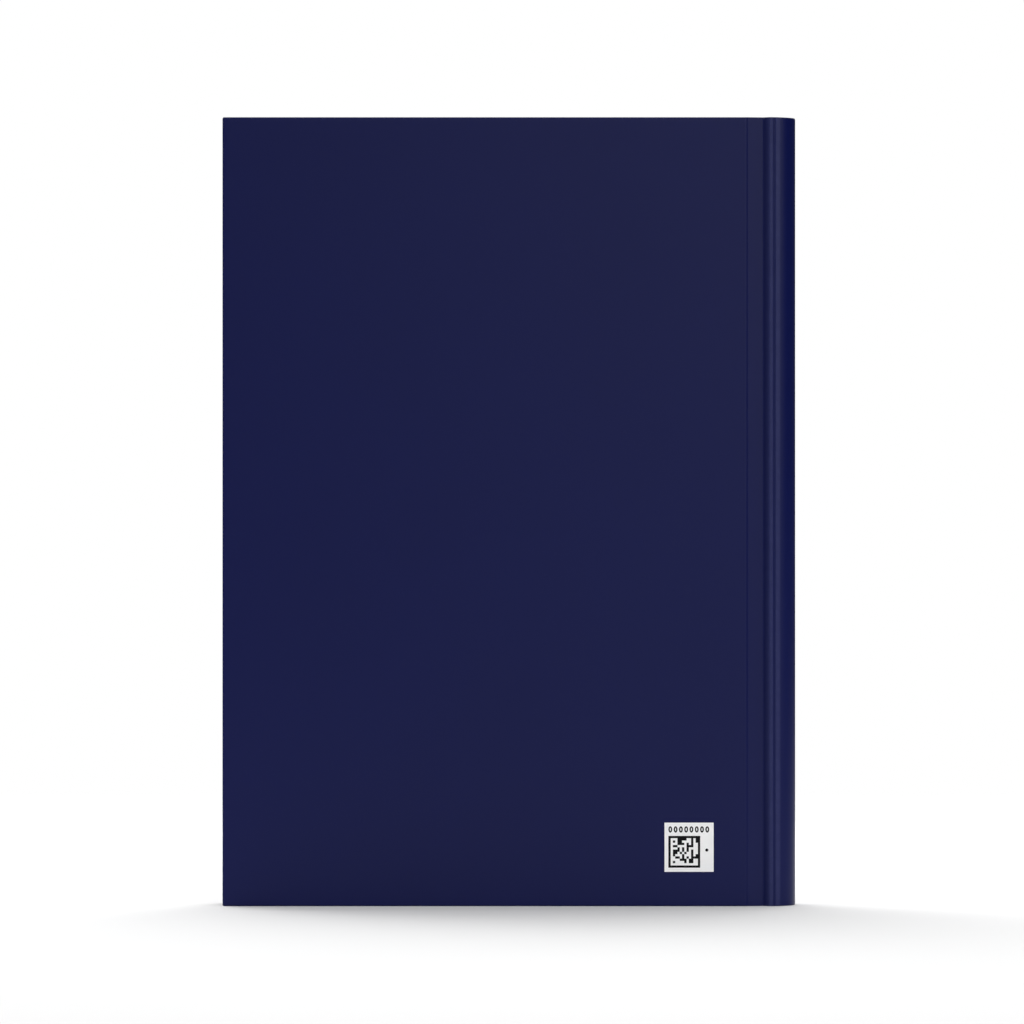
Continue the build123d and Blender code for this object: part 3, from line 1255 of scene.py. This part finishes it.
@dataclass
class EndBand:
    """A head or tail band: a cord wound with thread in two colours, on a tape glued to the back."""

    node: str
    up: int
    half_angle: float = math.radians(46.0)
    bead_radius: float = 0.78 * MM
    windings: int = 44
    steps_per_winding: int = 4
    ring: int = 12
    stripe_windings: int = 3
    bead_share: float = 0.97
    bead_clearance: float = 0.02 * MM
    winding_relief: float = 0.1
    tape_steps: int = 24
    tape_sink: float = 0.1 * MM
    tape_caliper: float = 0.16 * MM

    def build(self) -> Piece:
        """Model the wound bead by spinning a ring round the spine's axis, then its tape.

        Returns:
            The finished piece.
        """
        low, high = box_of(self.node)
        half_angle = self.half_angle
        tape_radius = high.y / math.sin(half_angle)
        centre = Vector((high.x - tape_radius, 0, 0))
        bead_z = high.z - self.bead_radius if self.up > 0 else low.z + self.bead_radius
        path_radius = tape_radius - self.bead_radius - self.bead_clearance
        bm = bmesh.new()
        stripe = bm.verts.layers.float.new("stripe")
        ring = bmesh.ops.create_circle(bm, segments=self.ring, radius=self.bead_radius)["verts"]
        upright = Matrix.Rotation(math.pi / 2, 4, "X")
        stand = Matrix.Translation(centre + Vector((path_radius, 0, bead_z))) @ upright
        bmesh.ops.transform(bm, matrix=stand, verts=ring)
        swing = Matrix.Rotation(-half_angle * self.bead_share, 3, "Z")
        bmesh.ops.rotate(bm, verts=ring, cent=centre, matrix=swing)
        bmesh.ops.spin(
            bm,
            geom=ring + bm.edges[:],
            cent=centre,
            axis=(0, 0, 1),
            angle=2 * half_angle * self.bead_share,
            steps=self.windings * self.steps_per_winding,
        )
        for vert in bm.verts:
            angle = math.atan2(vert.co.y, vert.co.x - centre.x)
            winding = (angle / (2 * half_angle) + 0.5) * self.windings
            along = Vector((math.cos(angle), math.sin(angle), 0)) * path_radius
            crown = centre + along + Vector((0, 0, bead_z))
            groove = 1 - self.winding_relief * (1 - abs(math.sin(math.pi * winding)))
            vert.co = crown + (vert.co - crown) * groove
            vert[stripe] = float(int(winding / self.stripe_windings) % 2)
        bmesh.ops.holes_fill(bm, edges=[edge for edge in bm.edges if edge.is_boundary], sides=self.ring)
        tape_levels = sorted((bead_z, low.z if self.up > 0 else high.z))
        tape = []
        for step in range(self.tape_steps + 1):
            angle = half_angle * (2 * step / self.tape_steps - 1)
            out = Vector((math.cos(angle), math.sin(angle)))
            tape.append(centre.xy + out * (tape_radius - self.tape_sink))
        band = bmesh.new()
        sweep_up(band, tape, tape_levels, 0.0)
        bmesh.ops.solidify(band, geom=band.faces[:], thickness=self.tape_caliper)
        scratch = bpy.data.meshes.new("tape")
        band.to_mesh(scratch)
        band.free()
        bm.from_mesh(scratch)
        bpy.data.meshes.remove(scratch)
        bmesh.ops.recalc_face_normals(bm, faces=bm.faces)
        piece = finish_piece(f"{self.node}_weave", bm, [BAND], 60.0)
        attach(piece, ROOT)
        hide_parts(self.node)
        return piece


@dataclass
class HiddenParts:
    """CAD nodes whose shape is already right: the boards, the card, the lining and the thread."""

    finishes: dict[str, Finish] = field(
        default_factory=lambda: {
            "back_board": GREYBOARD,
            "front_board": GREYBOARD,
            "spine_card": GREYBOARD,
            "spine_lining": KRAFT,
            "sewing_thread": THREAD,
        }
    )

    def dress(self) -> list[str]:
        """Give each node its finish.

        Returns:
            The nodes' names.
        """
        for node, finish in self.finishes.items():
            thing = frame["nodes"][node]
            thing.data.materials.clear()
            thing.data.materials.append(finish.material())
        return list(self.finishes)


@dataclass(frozen=True)
class Lamp:
    """One soft box lamp.

    Attributes:
        name: The lamp's name.
        offset: Where it hangs from the middle of the book, in metres.
        face: Width and height of its face in metres.
        power: Its power in watts.
    """

    name: str
    offset: tuple[float, float, float]
    face: tuple[float, float]
    power: float

    def hang(self, target: Vector) -> None:
        """Hang the lamp, facing the middle of the book.

        Args:
            target: The middle of the book.
        """
        light = bpy.data.lights.new(self.name, "AREA")
        light.shape = "RECTANGLE"
        light.size, light.size_y = self.face
        light.energy = self.power
        lamp = bpy.data.objects.new(self.name, light)
        lamp.location = target + Vector(self.offset)
        lamp.rotation_euler = (target - lamp.location).to_track_quat("-Z", "Y").to_euler()
        bpy.context.scene.collection.objects.link(lamp)


LAMPS = (
    Lamp("overhead_soft", (-0.1, 0.5, 1.15), (1.6, 1.6), 26.0),
    Lamp("front_right_soft", (0.6, -2.12, 0.7), (1.4, 1.5), 16.5),
    Lamp("right_soft", (1.38, -0.98, 0.62), (1.0, 1.2), 8.5),
    Lamp("front_left_fill", (-1.3, -0.9, 0.5), (1.2, 1.2), 4.0),
    Lamp("back_left_fill", (-1.0, 1.2, 0.4), (0.9, 0.9), 5.0),
)


@dataclass
class Studio:
    """A white floor, soft lamps and a long lens square to the back cover."""

    distance: float = 1.8
    view_width: float = 0.2637
    aim: tuple[float, float] = (0.68 * MM, -0.095 * MM)
    sensor: float = 36.0
    floor_reach: float = 0.75
    floor_fades_from: float = 0.32
    floor_gap: float = 0.02 * MM
    floor_white: float = 0.92
    surround_light: float = 0.06

    def build(self) -> None:
        """Lay the floor and set the lamps, the surrounding light and the camera."""
        low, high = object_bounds()
        self.lay_floor(low.z)
        self.surround()
        middle = Vector((0, 0, (low.z + high.z) / 2))
        for lamp in LAMPS:
            lamp.hang(middle)
        camera = bpy.data.cameras.new("camera")
        camera.sensor_width = self.sensor
        camera.lens = self.sensor * self.distance / self.view_width
        stand = bpy.data.objects.new("camera", camera)
        stand.location = (self.aim[0], low.y - self.distance, middle.z + self.aim[1])
        stand.rotation_euler = (math.pi / 2, 0, 0)
        bpy.context.scene.collection.objects.link(stand)
        bpy.context.scene.camera = stand
        bpy.context.scene.view_settings.view_transform = "Standard"

    def lay_floor(self, level: float) -> None:
        """Lay a white floor under the book, melting into the surround away from it.

        Args:
            level: The height that the book stands on.
        """
        bm = bmesh.new()
        bmesh.ops.create_grid(bm, x_segments=1, y_segments=1, size=self.floor_reach)
        bmesh.ops.translate(bm, verts=bm.verts, vec=(0, 0, level - self.floor_gap))
        mesh = bpy.data.meshes.new("floor")
        bm.to_mesh(mesh)
        bm.free()
        material = bpy.data.materials.new("white_floor")
        material.use_nodes = True
        tree = material.node_tree
        shader = tree.nodes["Principled BSDF"]
        shader.inputs["Base Color"].default_value = (*[self.floor_white] * 3, 1)
        shader.inputs["Roughness"].default_value = 0.9
        shader.inputs["Specular IOR Level"].default_value = 0.0
        away = add_node(tree, "ShaderNodeVectorMath", {0: object_point(tree)}, operation="LENGTH")
        limits = {"From Min": self.floor_fades_from, "From Max": self.floor_reach}
        fade = add_node(
            tree,
            "ShaderNodeMapRange",
            {"Value": away.outputs["Value"], **limits},
            interpolation_type="SMOOTHSTEP",
        )
        clear = add_node(tree, "ShaderNodeBsdfTransparent")
        layers = {0: fade.outputs["Result"], 1: shader.outputs["BSDF"], 2: clear.outputs["BSDF"]}
        mixed = add_node(tree, "ShaderNodeMixShader", layers)
        tree.links.new(mixed.outputs[0], tree.nodes["Material Output"].inputs["Surface"])
        mesh.materials.append(material)
        floor = bpy.data.objects.new("floor", mesh)
        bpy.context.scene.collection.objects.link(floor)
        floor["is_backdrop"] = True

    def surround(self) -> None:
        """Show white behind everything, and light the book only gently from all round."""
        world = bpy.data.worlds.new("studio")
        world.use_nodes = True
        tree = world.node_tree
        tree.nodes.clear()
        lit, seen = (
            add_node(tree, "ShaderNodeBackground", {"Color": (1, 1, 1, 1), "Strength": strength}).outputs[0]
            for strength in (self.surround_light, 1.0)
        )
        ray = add_node(tree, "ShaderNodeLightPath").outputs["Is Camera Ray"]
        mixed = add_node(tree, "ShaderNodeMixShader", {0: ray, 1: lit, 2: seen})
        add_node(tree, "ShaderNodeOutputWorld", {"Surface": mixed.outputs[0]})
        bpy.context.scene.world = world


def build_book() -> list[str]:
    """Build every sub-assembly in binding order.

    Returns:
        The names of the pieces made or dressed.
    """
    made = HiddenParts().dress()
    made += [piece.name for piece in TextBlock().build()]
    made += [EndBand("headband", 1).build().name, EndBand("tailband", -1).build().name]
    for side in Side:
        made += [piece.name for piece in Endpaper(side).build()]
        made += [Mull(side).build().name, CoverPaper(side).build().name]
    made.append(CodePrint().build().name)
    return made


def main() -> None:
    """Build the studio and the book, and report each piece."""
    logging.basicConfig(level=logging.INFO, format="%(name)s: %(message)s")
    Studio().build()
    for name in build_book():
        LOG.info("made %s", name)


if __name__ == "__main__":
    main()
